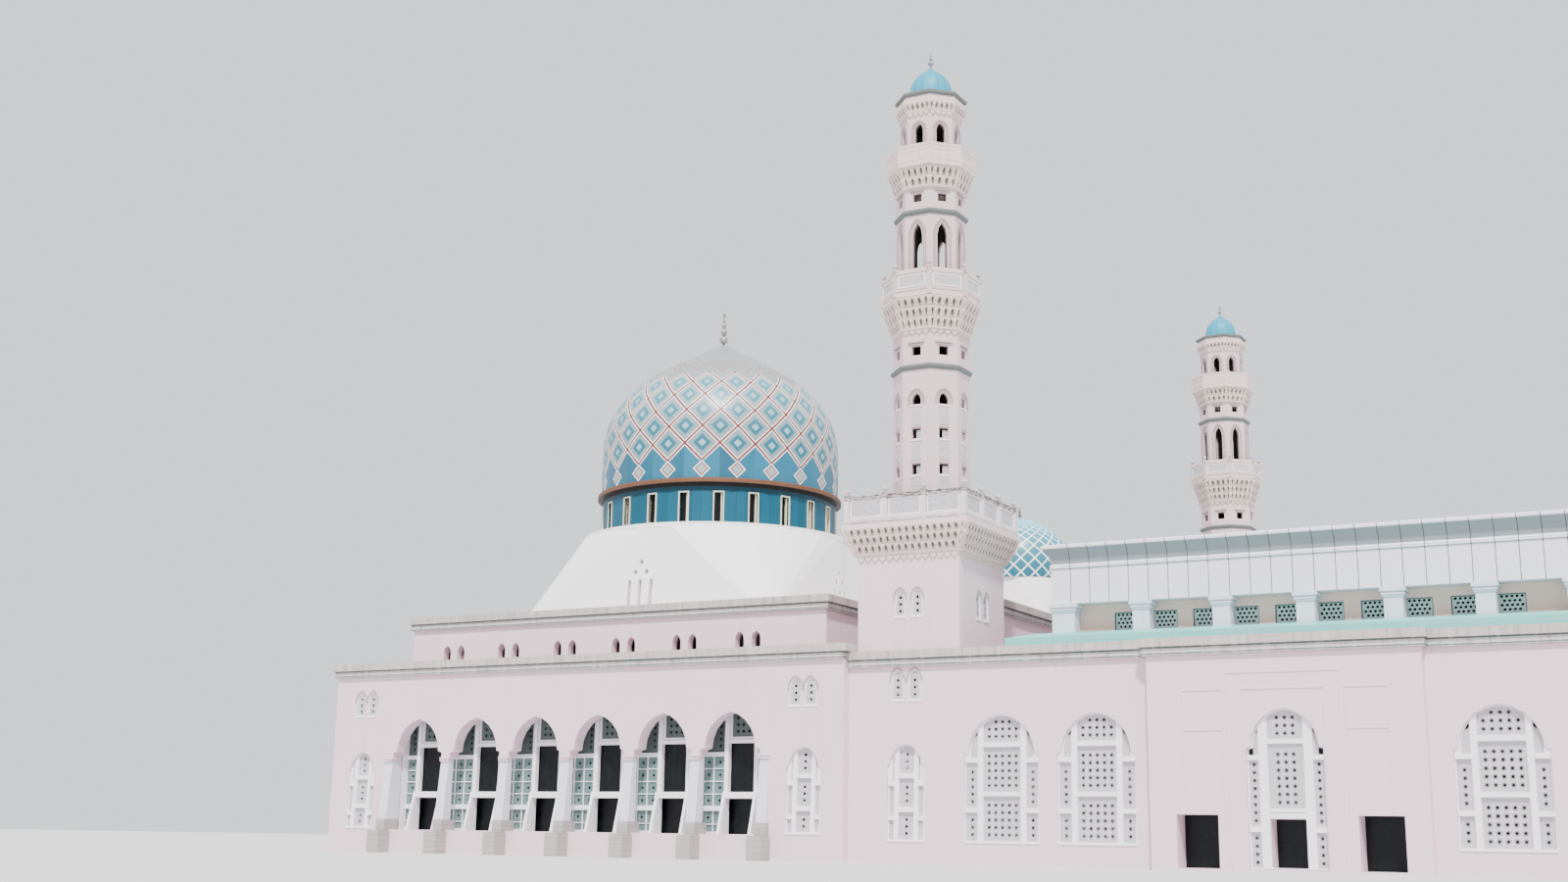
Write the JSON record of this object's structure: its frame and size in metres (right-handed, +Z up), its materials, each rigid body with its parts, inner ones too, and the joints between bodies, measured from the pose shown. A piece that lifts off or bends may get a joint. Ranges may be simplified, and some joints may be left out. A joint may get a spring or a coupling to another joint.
{
  "type": "mosque building, 1:10 scale model",
  "caption": "Domed mosque: arcaded prayer hall with clerestory, a two-storey wing with deep eaves, and tall slender minarets with balconies.",
  "frame": {"origin": "middle of the footprint, at the level of the lowest ground", "axes": "+X along the front to the right as seen from the front, +Y back into the building, +Z up"},
  "size_m": [9.545, 7.483, 5.322],
  "materials": {
    "painted_render": "warm white painted render, dusty, with dirt streaks",
    "white_roof_paint": "white roof paint on concrete, smooth",
    "grey_render": "pinkish grey render with dark joint lines",
    "screen_frames": "pale painted frames with lattice and dark panes",
    "dark_glass": "dark glazing behind lattice",
    "floor_stone": "pale honed stone",
    "drum_tile": "teal glazed tile with cream frames",
    "dome_tile": "glazed tile in a diamond pattern of silver grey, teal and white",
    "copper_band": "red-brown metal band",
    "sky_blue_tile": "light blue glazed tile",
    "fascia_panel": "pale grey coated metal panels with thin joints",
    "mint_metal": "mint green coated roof sheet",
    "finial_metal": "weathered metal"
  },
  "bodies": {
    "root": {"hall_front_wall": "painted_render", "hall_left_wall": "painted_render", "hall_back_wall": "painted_render", "clerestory_front_wall": "painted_render", "clerestory_side_walls": "painted_render", "wing_front_wall_left": "painted_render", "wing_front_wall_right": "painted_render", "entrance_bay": "painted_render", "wing_back_wall": "painted_render", "wing_right_wall": "painted_render", "wing_left_wall": "painted_render", "upper_front_wall": "painted_render", "upper_back_wall": "painted_render", "upper_left_wall": "painted_render", "upper_right_wall": "painted_render", "front_minaret_base": "painted_render", "front_minaret_terrace_balustrade": "painted_render", "front_minaret_lower_shaft": "painted_render", "front_minaret_lower_balcony": "painted_render", "front_minaret_middle_shaft": "painted_render", "front_minaret_upper_balcony": "painted_render", "front_minaret_lantern": "painted_render", "front_minaret_cap": "sky_blue_tile", "rear_minaret_base": "painted_render", "rear_minaret_terrace_balustrade": "painted_render", "rear_minaret_lower_shaft": "painted_render", "rear_minaret_lower_balcony": "painted_render", "rear_minaret_middle_shaft": "painted_render", "rear_minaret_upper_balcony": "painted_render", "rear_minaret_lantern": "painted_render", "rear_minaret_cap": "sky_blue_tile", "hall_front_screen": "screen_frames", "hall_left_screen": "screen_frames", "hall_back_screen": "screen_frames", "entrance_screen": "screen_frames", "hall_plinth": "floor_stone", "wing_floor": "floor_stone", "hall_parapet": "grey_render", "clerestory_parapet": "grey_render", "wing_parapet": "grey_render", "hall_roof": "grey_render", "wing_roof": "grey_render", "clerestory_roof": "white_roof_paint", "dome_base": "white_roof_paint", "small_dome_base": "white_roof_paint", "dome_drum": "drum_tile", "dome_shell": "dome_tile", "dome_ring": "copper_band", "dome_finial": "finial_metal", "small_dome": "sky_blue_tile", "wing_glass": "dark_glass", "wing_left_glass": "dark_glass", "upper_glass": "dark_glass", "upper_eaves": "fascia_panel", "upper_roof": "fascia_panel", "front_lean_to_roof": "mint_metal", "back_lean_to_roof": "mint_metal"}
  },
  "joints": []
}
